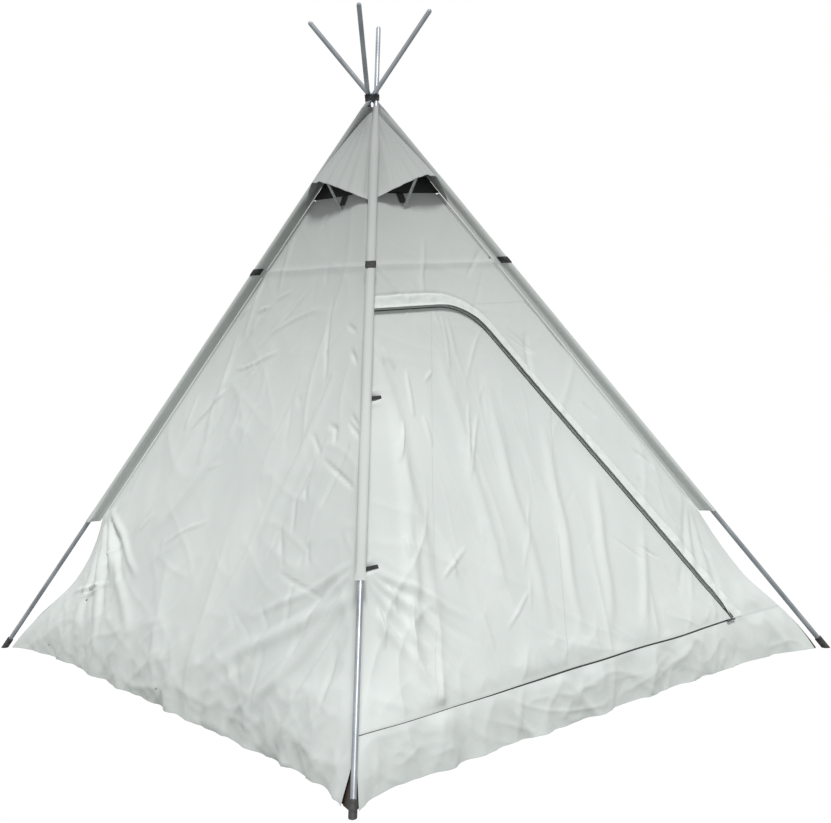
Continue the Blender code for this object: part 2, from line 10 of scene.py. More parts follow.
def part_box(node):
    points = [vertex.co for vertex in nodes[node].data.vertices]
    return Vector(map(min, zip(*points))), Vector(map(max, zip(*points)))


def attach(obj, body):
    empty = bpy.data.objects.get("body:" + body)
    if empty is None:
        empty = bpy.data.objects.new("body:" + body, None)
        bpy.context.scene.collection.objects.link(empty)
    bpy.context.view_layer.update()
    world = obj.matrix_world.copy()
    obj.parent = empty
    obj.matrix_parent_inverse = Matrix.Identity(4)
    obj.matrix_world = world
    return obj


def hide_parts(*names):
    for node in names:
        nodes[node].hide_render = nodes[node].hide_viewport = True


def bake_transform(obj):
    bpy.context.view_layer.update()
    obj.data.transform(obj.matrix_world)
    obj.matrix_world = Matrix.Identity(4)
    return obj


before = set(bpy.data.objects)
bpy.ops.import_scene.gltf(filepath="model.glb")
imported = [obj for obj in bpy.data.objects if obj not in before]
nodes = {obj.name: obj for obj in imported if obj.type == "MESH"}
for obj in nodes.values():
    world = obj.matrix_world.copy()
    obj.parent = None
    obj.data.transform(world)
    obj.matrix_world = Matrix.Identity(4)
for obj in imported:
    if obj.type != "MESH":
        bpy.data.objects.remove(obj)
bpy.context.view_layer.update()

# ---- poles ----
# Four poles of 19 mm steel tube in three sections each, coated satin grey. They lean against one another
# at the crossing and stand in rubber caps. The tubes and caps keep their shapes and get their finishes.
CORNERS = {"front": -90, "right": 0, "back": 90, "left": 180}
POLE_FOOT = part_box("foot_cap_right")[1].x - 0.0163
CROSSING = 2.230
CROSSING_SHIFT = 0.016


def heading(degrees_from_x):
    return Vector((cos(radians(degrees_from_x)), sin(radians(degrees_from_x)), 0))


def pole_at(corner, height):
    """The middle of a pole at a height."""
    outward = heading(CORNERS[corner])
    aside = Vector((-outward.y, outward.x, 0)) * CROSSING_SHIFT
    share = height / CROSSING
    return outward * POLE_FOOT * (1 - share) + aside * share + Vector((0, 0, height))


def finish(name, colour, roughness, metallic=0.0):
    """A plain material, its tree, and its shader, for its patterns to be added to."""
    made = bpy.data.materials.new(name)
    made.use_nodes = True
    shader = made.node_tree.nodes["Principled BSDF"]
    shader.inputs["Base Color"].default_value = (*colour, 1)
    shader.inputs["Roughness"].default_value = roughness
    shader.inputs["Metallic"].default_value = metallic
    return made, made.node_tree, shader


def grain(tree, scale, stretch=(1, 1, 1), detail=4.0, kind="ShaderNodeTexNoise"):
    """A pattern on object coordinates, more drawn out where stretch is small."""
    place = tree.nodes.new("ShaderNodeTexCoord")
    mapping = tree.nodes.new("ShaderNodeMapping")
    mapping.inputs["Scale"].default_value = stretch
    pattern = tree.nodes.new(kind)
    pattern.inputs["Scale"].default_value = scale
    if kind == "ShaderNodeTexNoise":
        pattern.inputs["Detail"].default_value = detail
    tree.links.new(place.outputs["Object"], mapping.inputs["Vector"])
    tree.links.new(mapping.outputs["Vector"], pattern.inputs["Vector"])
    return pattern.outputs[0]


def tint(tree, shader, factor, dark, light, low=0.35, high=0.65):
    """Colours a surface between two tones by a pattern."""
    ramp = tree.nodes.new("ShaderNodeValToRGB")
    ramp.color_ramp.elements[0].position = low
    ramp.color_ramp.elements[1].position = high
    ramp.color_ramp.elements[0].color = (*dark, 1)
    ramp.color_ramp.elements[1].color = (*light, 1)
    tree.links.new(factor, ramp.inputs["Fac"])
    tree.links.new(ramp.outputs["Color"], shader.inputs["Base Color"])
    return ramp.outputs["Color"]


def relief(tree, shader, pattern, strength, distance):
    bump = tree.nodes.new("ShaderNodeBump")
    bump.inputs["Strength"].default_value = strength
    bump.inputs["Distance"].default_value = distance
    tree.links.new(pattern, bump.inputs["Height"])
    tree.links.new(bump.outputs["Normal"], shader.inputs["Normal"])


def recolour(node, material):
    """Gives a piece that keeps its shape its finish."""
    node.data.materials.clear()
    node.data.materials.append(material)


tube_grey, tree, shader = finish("pole_grey", (0.30, 0.325, 0.35), 0.36, 0.75)
tint(tree, shader, grain(tree, 14, (1, 1, 0.15)), (0.25, 0.27, 0.295), (0.36, 0.385, 0.41))
relief(tree, shader, grain(tree, 900, (1, 1, 0.05), 2.0), 0.08, 0.0004)

cap_black, tree, shader = finish("cap_rubber", (0.03, 0.03, 0.032), 0.7)
tint(tree, shader, grain(tree, 60), (0.02, 0.02, 0.022), (0.055, 0.053, 0.05))
relief(tree, shader, grain(tree, 1400), 0.2, 0.0004)

for corner in CORNERS:
    for part in ("lower", "middle", "upper"):
        recolour(nodes[f"pole_{corner}_{part}"], tube_grey)
    recolour(nodes[f"foot_cap_{corner}"], cap_black)

# ---- lashing ----
# A strap of black webbing round the four poles where they cross. It is wound tight and fastened to itself.
webbing_black, tree, shader = finish("black_webbing", (0.018, 0.018, 0.02), 0.8)
weave = grain(tree, 420, (1, 1, 0.6), kind="ShaderNodeTexVoronoi")
relief(tree, shader, weave, 0.5, 0.0006)
tint(tree, shader, grain(tree, 45), (0.013, 0.013, 0.015), (0.032, 0.032, 0.034))

recolour(nodes["lashing_strap"], webbing_black)

# ---- walls ----
# Four panels of coated polyester, pale grey-green, sewn to one another at the corners and hung from the
# pole sleeves. Below the sleeves the corners are free and pull in, and a skirt folds down to the hem.
FACES = {"front_right": -45, "back_right": 45, "back_left": 135, "front_left": 225}
FOOT_OUT = 1.160
APEX = 2.180
LEAN = atan2(FOOT_OUT, APEX)
HEM_OUT = 1.100
SILL = 0.170
SKIRT_BEND = 0.240
SLEEVE_END = 0.566
SEAM = 1.563
ARCH = 1.4041
VENT_SILL = 1.845
CLOTH = 0.0008
FOOT_REACH = 0.078
SPLIT_LEFT_FACE = 1.5
SPLIT_RIGHT_FACE = 0.5
SPLIT_TOP = 0.150
REACH_TOP = 0.300
CORNER_SPLIT = {"front": 0.040, "right": 0.014, "back": 0.020, "left": 0.010}
CORNER_PULL = {"front": 0.040, "right": 0.019, "back": 0.030, "left": 0.046}
CORNERS_OF = {
    "front_right": ("front", "right"),
    "back_right": ("right", "back"),
    "back_left": ("back", "left"),
    "front_left": ("left", "front"),
}


def smooth(x):
    x = max(0.0, min(1.0, x))
    return x * x * (3 - 2 * x)


def plane_out(height):
    """How far a wall's plane lies from the tent's axis at a height."""
    out = FOOT_OUT * (1 - height / APEX)
    if height < SKIRT_BEND:
        out -= (FOOT_OUT - HEM_OUT) * ((SKIRT_BEND - height) / SKIRT_BEND) ** 2
    return out


def pull(corner, height):
    """How far a corner is drawn in towards the axis below its sleeve."""
    if height >= SLEEVE_END:
        return 0.0
    share = 1 - height / SLEEVE_END
    inward = CORNER_PULL[corner] * max(0.0, sin(pi * share**0.85)) ** 1.15
    return inward - FOOT_REACH * max(0.0, 1 - height / REACH_TOP) ** 1.4


def edge_of(face, height, side):
    """The wall's left (-1) or right (1) edge, as a distance across it."""
    corner = CORNERS_OF[face][0 if side < 0 else 1]
    more = SPLIT_LEFT_FACE if side > 0 else SPLIT_RIGHT_FACE
    split = CORNER_SPLIT[corner] * more * max(0.0, 1 - height / SPLIT_TOP)
    return side * (plane_out(height) - pull(corner, height) - split)


def crease(x, h, start, end, width, depth):
    """A ridge along a line that fades at its ends."""
    dx, dh = end[0] - start[0], end[1] - start[1]
    length = hypot(dx, dh)
    along = ((x - start[0]) * dx + (h - start[1]) * dh) / length
    if along < 0 or along > length:
        return 0.0
    across = ((x - start[0]) * dh - (h - start[1]) * dx) / length
    if abs(across) > 3 * width:
        return 0.0
    bend = across + 0.02 * noise.noise(Vector((start[0] * 7, start[1] * 9, along * 5)))
    return depth * exp(-((bend / width) ** 2)) * sin(pi * along / length) ** 0.7


def scattered(seed, count, low, high, steep):
    """Creases strewn over a wall, from its numbered places in the noise."""
    found = []
    for i in range(count):
        a, b, c, d = (noise.cell(Vector((seed, i, k))) * 0.5 + 0.5 for k in range(4))
        h = low + (high - low) * a
        x = (b * 2 - 1) * plane_out(h) * 0.9
        turn = (steep + (c - 0.5) * 1.7) * (1 if x < 0.15 else -1)
        reach = 0.07 + 0.26 * d * d
        tip = (x + reach * cos(turn), h + reach * sin(turn))
        found.append(((x, h), tip, 0.005 + 0.006 * c, (0.0105 - 0.0195 * b) * (0.7 + 0.5 * d)))
    return found


def fan(face, side, count, spread, depth, seed):
    """Creases that run from the end of a sleeve down into the wall."""
    top = SLEEVE_END + 0.01
    edge = edge_of(face, top, side) * 0.995
    found = []
    for i in range(count):
        share = (i + 0.5) / count
        down = radians(spread[0] + (spread[1] - spread[0]) * share)
        reach = 0.46 + 0.10 * noise.cell(Vector((seed, i, 7)))
        tip = (edge - side * reach * sin(down), top + 0.06 - reach * cos(down))
        found.append(((edge, top + 0.06), tip, 0.013, depth * (1.5 if i % 2 else -1.1)))
    return found


FOLDS = {
    "front_left": scattered(3, 84, 0.25, 1.50, 1.05)
    + fan("front_left", 1, 6, (10, 66), 0.0045, 2)
    + fan("front_left", -1, 6, (10, 64), 0.010, 5)
    + [((-0.86, 0.57), (-0.30, 0.20), 0.024, 0.014), ((-0.86, 0.56), (-0.52, 0.08), 0.022, 0.014)]
    + [((-0.86, 0.56), (-0.74, 0.10), 0.018, 0.010), ((0.86, 0.56), (0.50, 0.06), 0.022, 0.014)]
    + [((0.84, 0.52), (0.22, 0.16), 0.026, 0.012), ((0.85, 0.50), (0.72, 0.04), 0.018, 0.012)]
    + [((0.35, 1.20), (0.28, 0.62), 0.024, 0.010), ((-0.1, 1.0), (-0.42, 0.55), 0.024, 0.009)],
    "front_right": scattered(11, 64, 0.25, 1.50, 1.25)
    + fan("front_right", -1, 6, (10, 60), 0.0045, 9)
    + fan("front_right", 1, 5, (8, 45), 0.005, 4)
    + [((-0.42, 1.32), (-0.62, 0.35), 0.028, 0.014), ((-0.15, 1.25), (-0.30, 0.45), 0.024, 0.012)]
    + [((0.02, 1.15), (-0.16, 0.30), 0.024, 0.013), ((0.22, 0.95), (-0.02, 0.26), 0.022, 0.013)]
    + [((0.38, 0.75), (0.12, 0.24), 0.022, 0.012), ((-0.50, 0.95), (-0.78, 0.24), 0.024, 0.014)]
    + [((0.50, 0.52), (0.30, 0.22), 0.018, 0.010), ((-0.86, 0.54), (-0.66, 0.06), 0.020, 0.012)],
    "back_right": scattered(21, 30, 0.25, 1.60, 1.1) + fan("back_right", 1, 5, (8, 55), 0.008, 6),
    "back_left": scattered(31, 30, 0.25, 1.60, 1.1) + fan("back_left", -1, 5, (8, 55), 0.008, 8),
}
SEEDS = {"front_right": 1.7, "back_right": 4.1, "back_left": 8.3, "front_left": 12.9}
WRINKLES = ((0.35, 3.6, 0.0070), (-0.5, 5.5, 0.0070), (1.1, 8.0, 0.0030), (0.1, 12.0, 0.0022))
HEM_WRINKLES = ((0.25, 6.0, 0.0060), (0.9, 10.0, 0.0042), (-0.7, 15.0, 0.0030))
TIE_PUCKERS = ((0.600, 0.009), (1.110, 0.012))


ARCH_RADIUS = 0.220
HEIGHT_TO_SLOPE = 1 / cos(LEAN)
PLACKET_WIDTH = 0.060
ARCH_INSET = 0.349
SILL_INSET = 0.280


def zip_turn():
    """The arch's middle in the wall's plane, and the direction straight out from the side zip."""
    high = (plane_out(ARCH) - ARCH_INSET, ARCH * HEIGHT_TO_SLOPE)
    low = (plane_out(SILL) - SILL_INSET, SILL * HEIGHT_TO_SLOPE)
    turn = atan2(low[0] - high[0], high[1] - low[1])
    return (high[0] - ARCH_RADIUS * (1 - sin(turn)) / cos(turn), high[1] - ARCH_RADIUS), turn


ARCH_MIDDLE, SIDE_TURN = zip_turn()


def past_zip(x, h):
    """How far a place on the door's wall lies outside the zip's line."""
    dx, dy = x - ARCH_MIDDLE[0], h * HEIGHT_TO_SLOPE - ARCH_MIDDLE[1]
    if dx <= 0 and dy > 0:
        return dy - ARCH_RADIUS
    if atan2(dy, dx) > SIDE_TURN:
        return hypot(dx, dy) - ARCH_RADIUS
    return dx * cos(SIDE_TURN) + dy * sin(SIDE_TURN) - ARCH_RADIUS


def billow(face, x, h):
    """How far the cloth stands off its plane."""
    seed = SEEDS[face]
    left, right = edge_of(face, h, -1), edge_of(face, h, 1)
    rim = min(x - left, right - x)
    held = smooth(rim / 0.07)
    off = 0.011 * noise.noise(Vector((x * 1.5 + seed, h * 1.1, seed)))
    off += 0.0055 * noise.noise(Vector((x * 5.5 + seed, h * 1.6, seed + 3)))
    off += 0.0020 * noise.noise(Vector((x * 16, h * 7, seed + 5))) * (1.2 - 0.5 * h)
    warp = noise.noise(Vector((x * 1.3, h * 1.3, seed + 9)))
    for turn, size, depth in WRINKLES:
        u, w = x * cos(turn) + h * sin(turn), h * cos(turn) - x * sin(turn)
        ridge = 1 - abs(noise.noise(Vector((u * size + warp, w * size * 0.28, seed + size))))
        patchy = smooth(0.55 + 1.6 * noise.noise(Vector((x * 1.9, h * 1.9, seed + 2 * size))))
        off += depth * ridge**12 * patchy * (1.15 - 0.45 * h)
    for start, end, width, depth in FOLDS[face]:
        off += crease(x, h, start, end, width, depth)
    off *= 0.10 + 0.90 * held
    if h > SLEEVE_END:
        off -= 0.011 * exp(-(((rim - 0.011) / 0.007) ** 2)) * smooth((h - SLEEVE_END) / 0.05)
    if h < 0.30:
        share = 1 - h / 0.30
        waves = noise.noise(Vector((x * 6.5, seed, h * 2.0))) + 0.5 * noise.noise(Vector((x * 17, seed, h * 4)))
        off += 0.016 * waves * share * (0.3 + 0.7 * held)
        off += 0.007 * sin(x * 31 + 5 * noise.noise(Vector((x * 3, seed, 0)))) * share * held
        off = max(off, -0.006 - 0.05 * h)
    off += 0.004 * exp(-(((h - SEAM) / 0.012) ** 2)) * (1 if face.startswith("front") else 0)
    if h < 0.34:
        low = smooth((0.34 - h) / 0.16)
        for turn, size, depth in HEM_WRINKLES:
            u, w = x * cos(turn) + h * sin(turn), h * cos(turn) - x * sin(turn)
            ridge = 1 - abs(noise.noise(Vector((u * size * 0.5 + seed, w * size, seed + size))))
            off += depth * (ridge**6 - 0.15) * low * (0.15 + 0.85 * held)
    if face == "front_right":
        beyond = past_zip(x, h)
        taut = exp(-((beyond / 0.045) ** 2))
        taut = max(taut, exp(-(((h - SILL) / 0.025) ** 2)))
        off *= 1 - 0.85 * taut
        if 0 < beyond < PLACKET_WIDTH and h > SILL:
            gather = noise.noise(Vector((x * 34 + h * 21, h * 30 - x * 16, 6)))
            off += 0.0034 * gather * sin(pi * beyond / PLACKET_WIDTH)
        if h > SILL + 0.02:
            off -= 0.0042 * exp(-(((beyond - PLACKET_WIDTH) / 0.0045) ** 2))
        for height, depth in TIE_PUCKERS:
            away = hypot(x - left - 0.03, (h - height) * 1.6)
            off -= depth * exp(-((away / 0.03) ** 2)) * cos((h - height) * 130)
    return off


def wall_point(face, x, h, lift=0.0):
    """A place on a wall: across it, at a height, and off its cloth."""
    outward = heading(FACES[face])
    right = Vector((-outward.y, outward.x, 0))
    off = billow(face, x, h) + lift
    if face == "front_right":
        h += 0.007 * noise.noise(Vector((x * 3.2, 4, 0))) * exp(-(((h - SILL) / 0.05) ** 2))
    left, end = edge_of(face, h, -1), edge_of(face, h, 1)
    first, second = CORNERS_OF[face]
    drawn = pull(first, h) * exp(-max(0.0, x - left) / 0.13)
    drawn += pull(second, h) * exp(-max(0.0, end - x) / 0.13)
    tilt = smooth(h / (1.6 * SILL))
    level = plane_out(h) - drawn + off * (1 - tilt + tilt * cos(LEAN))
    return outward * level + right * x + Vector((0, 0, max(0.0006, h + off * tilt * sin(LEAN))))


def sewn(name, bm, material, thickness=CLOTH, sharp=62):
    """Gives a sheet its thickness and links it. The sheet's own face looks outwards."""
    if thickness:
        bmesh.ops.solidify(bm, geom=bm.faces[:], thickness=thickness)
    bmesh.ops.recalc_face_normals(bm, faces=bm.faces)
    mesh = bpy.data.meshes.new(name)
    bm.to_mesh(mesh)
    bm.free()
    mesh.shade_smooth()
    mesh.set_sharp_from_angle(angle=radians(sharp))
    mesh.materials.append(material)
    made = bpy.data.objects.new(name, mesh)
    bpy.context.collection.objects.link(made)
    return made


def sheet_grid(columns, rows, place):
    """A grid of cloth whose points are set from their shares across and up."""
    bm = bmesh.new()
    bmesh.ops.create_grid(bm, x_segments=columns, y_segments=rows, size=0.5)
    for v in bm.verts:
        v.co = place(v.co.x + 0.5, v.co.y + 0.5)
    return bm


def between(face, low, high, left=None, right=None, lift=0.0):
    """The place function of a panel between two heights and two edges."""

    def place(across, up):
        h = low + (high - low) * up
        a = left(h) if left else edge_of(face, h, -1)
        b = right(h) if right else edge_of(face, h, 1)
        return wall_point(face, a + (b - a) * across, h, lift)

    return place


cloth_pale, tree, shader = finish("tent_cloth", (0.60, 0.64, 0.61), 0.72)
shader.inputs["Sheen Weight"].default_value = 0.15
shader.inputs["Sheen Roughness"].default_value = 0.5
mottle = grain(tree, 2.2, (1, 1, 0.7), 6.0)
tone = tint(tree, shader, mottle, (0.600, 0.632, 0.606), (0.672, 0.703, 0.676), 0.3, 0.7)
# Painted shade: the cloth's colour is multiplied down with height, from 1.0 at 1 m to 0.50 at 2.1 m, so it is
# darker towards the top.
coords = tree.nodes.new("ShaderNodeTexCoord")
split = tree.nodes.new("ShaderNodeSeparateXYZ")
height_shade_ramp = tree.nodes.new("ShaderNodeMapRange")
height_shade_ramp.inputs["From Min"].default_value = 1.0
height_shade_ramp.inputs["From Max"].default_value = 2.1
height_shade_ramp.inputs["To Min"].default_value = 1.0
height_shade_ramp.inputs["To Max"].default_value = 0.50
shade_by_height = tree.nodes.new("ShaderNodeMix")
shade_by_height.data_type = "RGBA"
shade_by_height.blend_type = "MULTIPLY"
shade_by_height.inputs["Factor"].default_value = 1.0
tree.links.new(coords.outputs["Object"], split.inputs["Vector"])
tree.links.new(split.outputs["Z"], height_shade_ramp.inputs["Value"])
tree.links.new(tone, shade_by_height.inputs["A"])
tree.links.new(height_shade_ramp.outputs["Result"], shade_by_height.inputs["B"])
tree.links.new(shade_by_height.outputs["Result"], shader.inputs["Base Color"])
relief(tree, shader, grain(tree, 1500, (1, 1, 0.7), 2.0), 0.10, 0.0003)


def shaded_cloth(name, low, high):
    """The tent's cloth with its painted shade, darker towards the top, set to two other levels for a lit or
    shaded copy.
    """
    made = cloth_pale.copy()
    made.name = name
    for knot in made.node_tree.nodes:
        if knot.bl_idname == "ShaderNodeMapRange":
            knot.inputs["To Min"].default_value = low
            knot.inputs["To Max"].default_value = high
    return made


# Painted shade: the sleeves are the tent's cloth darkened, 0.84 low down and 0.56 at the top instead of 1.0 and
# 0.50.
sleeve_shaded_cloth = shaded_cloth("sleeve_cloth", 0.84, 0.56)


def wall_sheet(name, face, columns, rows, low, high):
    place = between(face, low, high)
    made = sewn(name, sheet_grid(columns, rows, place), cloth_pale)
    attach(made, "tent_body")
    return made


wall = wall_sheet("front_left_wall", "front_left", 210, 190, 0.0, SEAM)
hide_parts("wall_front_left")
upper = wall_sheet("front_left_upper_wall", "front_left", 90, 40, SEAM, VENT_SILL)
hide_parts("upper_panel_front_left")
for face in ("back_left", "back_right"):
    wall = wall_sheet(f"{face}_wall", face, 130, 130, 0.0, VENT_SILL)
    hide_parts(f"wall_{face}")
upper = wall_sheet("front_right_upper_wall", "front_right", 90, 40, SEAM, VENT_SILL)
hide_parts("upper_panel_front_right")
header = wall_sheet("door_header_cloth", "front_right", 120, 30, ARCH + 0.0020, SEAM)
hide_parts("door_header")
skirt = wall_sheet("door_skirt", "front_right", 230, 34, 0.0, SILL - 0.005)
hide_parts("door_sill_panel")


# ---- door opening ----
# The zip runs from the front pole over an arch and down beside the right pole to the sill, then back along
# the sill. Its dark coil shows in a narrow gap, under the raised lip of a placket sewn to the fixed side.
def zip_path(offset, count=60):
    """Points (across, height) of the zip's line, from the front corner to the sill."""
    turn, middle = SIDE_TURN, ARCH_MIDDLE
    foot = SILL * HEIGHT_TO_SLOPE
    radius = ARCH_RADIUS + offset
    points = [(-plane_out(ARCH), middle[1] + radius), (middle[0], middle[1] + radius)]
    for i in range(1, 13):
        a = pi / 2 + (turn - pi / 2) * i / 12
        points.append((middle[0] + radius * cos(a), middle[1] + radius * sin(a)))
    last = points[-1]
    points.append((last[0] + (last[1] - foot) * sin(turn) / cos(turn), foot))
    lengths = [0.0]
    for a, b in zip(points, points[1:]):
        lengths.append(lengths[-1] + hypot(b[0] - a[0], b[1] - a[1]))
    even = []
    k = 0
    for i in range(count + 1):
        want = lengths[-1] * i / count
        while k < len(lengths) - 2 and lengths[k + 1] < want:
            k += 1
        share = (want - lengths[k]) / (lengths[k + 1] - lengths[k])
        a, b = points[k], points[k + 1]
        even.append((a[0] + (b[0] - a[0]) * share, (a[1] + (b[1] - a[1]) * share) / HEIGHT_TO_SLOPE))
    return even


def beside_zip(offset):
    """The zip's line as a distance across the wall at a height, beyond its arch."""
    path = zip_path(offset, 240)
    top = max(range(len(path)), key=lambda i: (path[i][1], path[i][0]))
    side = path[top:]

    def across(h):
        for a, b in zip(side, side[1:]):
            if b[1] <= h <= a[1]:
                share = (a[1] - h) / max(1e-9, a[1] - b[1])
                return a[0] + (b[0] - a[0]) * share
        return side[0][0] if h > side[0][1] else side[-1][0]

    return across


side_edge = beside_zip(0.0022)


def side_place(across, up):
    h = SILL - 0.005 + (ARCH + 0.0020 - SILL + 0.005) * (1 - (1 - up) ** 1.6)
    a, b = side_edge(h), edge_of("front_right", h, 1)
    return wall_point("front_right", a + (b - a) * across, h)


side = sewn("door_side_cloth", sheet_grid(46, 180, side_place), cloth_pale)
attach(side, "tent_body")
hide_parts("door_side_panel")

zip_dark, tree, shader = finish("zip_coil", (0.12, 0.13, 0.12), 0.5)
tint(tree, shader, grain(tree, 700, (1, 1, 1), 1.0), (0.05, 0.055, 0.05), (0.16, 0.17, 0.16))


def zip_strip(name, path, half, replaced, steps):
    """A zip's tape with the coil's ridge and its turns along the middle."""

    def place(across, along):
        at = along * (len(path) - 1)
        i = min(int(at), len(path) - 2)
        a, b = path[i], path[i + 1]
        x, h = a[0] + (b[0] - a[0]) * (at - i), a[1] + (b[1] - a[1]) * (at - i)
        dx, dh = b[0] - a[0], (b[1] - a[1]) * HEIGHT_TO_SLOPE
        size = hypot(dx, dh)
        side_step = (across - 0.5) * 2 * half
        x += side_step * -dh / size
        h += side_step * dx / size / HEIGHT_TO_SLOPE
        coil = exp(-((side_step / 0.0018) ** 2)) * (0.0014 + 0.0005 * sin(along * steps * pi / 1.5))
        return wall_point("front_right", x, max(h, 0.02), -0.0045 + coil)

    made = sewn(name, sheet_grid(10, steps, place), zip_dark, 0.0008)
    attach(made, "tent_body")
    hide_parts(replaced)
    return made


zip_strip("side_zip", zip_path(-0.001, 160), 0.0060, "zip_side_chain", 900)
sill_zip_end = zip_path(0.0)[-1][0]
sill_zip_start = -plane_out(SILL) + 0.01
sill_line = [(sill_zip_start + (sill_zip_end - sill_zip_start) * i / 40, SILL - 0.002) for i in range(41)]
zip_strip("sill_zip", sill_line, 0.0060, "zip_sill_chain", 900)


placket_lines = [zip_path(0.0010 + PLACKET_WIDTH * i / 14, 120) for i in range(15)]
# Painted highlight: the placket is the tent's cloth brightened to 1.10 low down and 0.66 at the top, instead of
# 1.0 and 0.50, for its lit lip; it still darkens towards the top like the rest.
placket_lit_cloth = shaded_cloth("placket_cloth", 1.10, 0.66)


def placket_place(across, along):
    near = placket_lines[round(across * 14)]
    at = along * 120
    i = min(int(at), 119)
    a, b = near[i], near[i + 1]
    x, h = a[0] + (b[0] - a[0]) * (at - i), a[1] + (b[1] - a[1]) * (at - i)
    lip = 0.0140 * exp(-((across / 0.13) ** 2)) + 0.0055 * (1 - across**10)
    lip *= 0.25 + 0.75 * smooth((1 - along) / 0.06)
    ripple = 0.0012 * noise.noise(Vector((along * 45, across * 3, 2))) * (1 - across)
    return wall_point("front_right", max(x, -plane_out(h) + 0.02), h, lip + ripple)


placket = sewn("zip_flap", sheet_grid(14, 300, placket_place), placket_lit_cloth, 0.001)
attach(placket, "tent_body")
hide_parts("zip_placket")

# ---- door ----
# One cloth panel sewn to the front corner. It folds along lines beside the front pole when it is drawn aside,
# so it is cut in three between the folds, and the parts lie closed in the wall.
door_top = zip_path(-0.0028, 400)
DOOR_FOOT = SILL + 0.001


def door_height(distance):
    """The height of the door's upper edge at a distance from the front corner line."""
    best = None
    for a, b in zip(door_top, door_top[1:]):
        da, db = a[0] + plane_out(a[1]), b[0] + plane_out(b[1])
        if da <= distance <= db:
            share = (distance - da) / max(1e-9, db - da)
            best = a[1] + (b[1] - a[1]) * share
    return best if best is not None else (door_top[0][1] if distance <= 0.001 else DOOR_FOOT)


DOOR_WIDTH = door_top[-1][0] + plane_out(SILL)


def door_place(start, end):
    def place(across, up):
        distance = start + (end - start) * across
        foot = DOOR_FOOT - 0.0035 * smooth((0.9 - distance) / 0.6)
        h = foot + max(0.0, door_height(distance) - foot) * up
        x = distance - plane_out(h)
        inner_edge = edge_of("front_right", h, -1)
        x += (inner_edge + plane_out(h)) * exp(-distance / 0.30)
        return wall_point("front_right", x, h)

    return place


fold_at = [DOOR_WIDTH * i / 3 for i in range(3)]
outward = heading(FACES["front_right"])
right_way = Vector((-outward.y, outward.x, 0))


def fold_point(distance, height=0.8):
    out = plane_out(height)
    return outward * out + right_way * (distance - out) + Vector((0, 0, height))


up_fold = (fold_point(0, 1.2) - fold_point(0, 0.4)).normalized()
plane_normal = outward * cos(LEAN) + Vector((0, 0, sin(LEAN)))
fold_side = up_fold.cross(plane_normal).normalized()
if fold_side.dot(right_way) < 0:
    fold_side = -fold_side
cuts = [0.0, fold_at[1] / 2, (fold_at[1] + fold_at[2]) / 2, DOOR_WIDTH]
parts = (
    ("door_cloth_inner", "tent_body", "door_inner", "door_inner_strip", 90, 170, (0.50, 1.50), 0.36),
    ("door_cloth_middle", "door_inner", "door_middle", "door_middle_strip", 120, 150, (0.62, 1.50), 0.72),
    ("door_cloth_outer", "door_middle", "door_outer", "door_outer_strip", 170, 110, (0.93, 1.20), 0.52),
)
for i, (name, near, far, node, columns, rows, flat, area) in enumerate(parts):
    bm = sheet_grid(columns, rows, door_place(cuts[i], cuts[i + 1]))
    part = sewn(name, bm, cloth_pale)
    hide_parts(node)
    hinge = fold_point(fold_at[i])
    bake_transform(part)

# ---- zip sliders ----
# Enamelled zinc sliders with a pull tab hinged at the lower end. Both wait at the right of the sill.
slider_dark, tree, shader = finish("slider_enamel", (0.10, 0.10, 0.11), 0.4, 0.8)
tint(tree, shader, grain(tree, 260), (0.06, 0.06, 0.065), (0.15, 0.15, 0.16))
for name in ("zip_side_slider", "zip_sill_slider"):
    for piece in (nodes[name], nodes[f"{name}_tab"]):
        recolour(piece, slider_dark)

# ---- door ties ----
# Two loops of black webbing by the front corner, that hold the door when it is rolled.
for level in ("lower", "upper"):
    recolour(nodes[f"door_tie_{level}"], webbing_black)

# ---- sleeves ----
# A loose tube of the tent's cloth round each pole, flattened and sewn to the corner by its seam. Its lower
# end gathers, and a black keeper band grips it near the panel seam.
SLEEVE_TOP = 2.194
KEEPER_MIDDLE = 1.572
KEEPER_SHAPE = (
    (-0.012, 0.0008),
    (-0.0115, 0.0022),
    (0, 0.0026),
    (0.0115, 0.0022),
    (0.012, 0.0008),
)
RIM = (
    (0.0130, 0.0),
    (0.0120, 0.0095),
    (0.0070, 0.0155),
    (-0.0020, 0.0180),
    (-0.0120, 0.0150),
    (-0.0200, 0.0090),
    (-0.0270, 0.0035),
)


def sleeve_ring(corner, height, swell=0.0):
    """The outline of a sleeve at a height, from its seam round to its seam."""
    outward = heading(CORNERS[corner])
    middle = pole_at(corner, height)
    seam_at = outward * (plane_out(height) * sqrt(2) + 0.0015)
    seam_at.z = height
    gap = (middle - seam_at).length
    inward = (seam_at - middle).normalized() if gap > 0.012 else -outward
    across = Vector((-inward.y, inward.x, 0)).normalized()
    reach = max(0.0125, gap)
    wide = smooth((SLEEVE_TOP + 0.02 - height) / 0.22) * 0.45 + 0.55
    tight = 1.0 + 0.22 * exp(-((height - SLEEVE_END) / 0.03) ** 2)
    seed = CORNERS[corner] * 0.1
    points = []
    for i, (depth, half) in enumerate(RIM):
        inwards = -depth if depth > 0 else min(-depth, reach - 0.004)
        inwards -= swell if depth > 0 else 0
        half = half * wide * tight + (swell if half else 0)
        wave = 0.0022 * noise.noise(Vector((height * 6, i * 0.7, seed))) if half else 0
        gather = 0.0035 * sin(i * 2.4 + seed) * exp(-((height - SLEEVE_END) / 0.05) ** 2)
        points.append((inwards, half + wave + gather))
    if swell == 0:
        points.append((reach, 0.0009))
    ring = [middle + inward * a + across * b for a, b in reversed(points)]
    other = [middle + inward * a - across * max(0.0, b) for a, b in points[1:]]
    return ring + other


def tube(rings):
    """A grid of cloth laid through rings of points."""
    across, up = len(rings[0]) - 1, len(rings) - 1
    return sheet_grid(across, up, lambda a, b: rings[round(b * up)][round(a * across)])


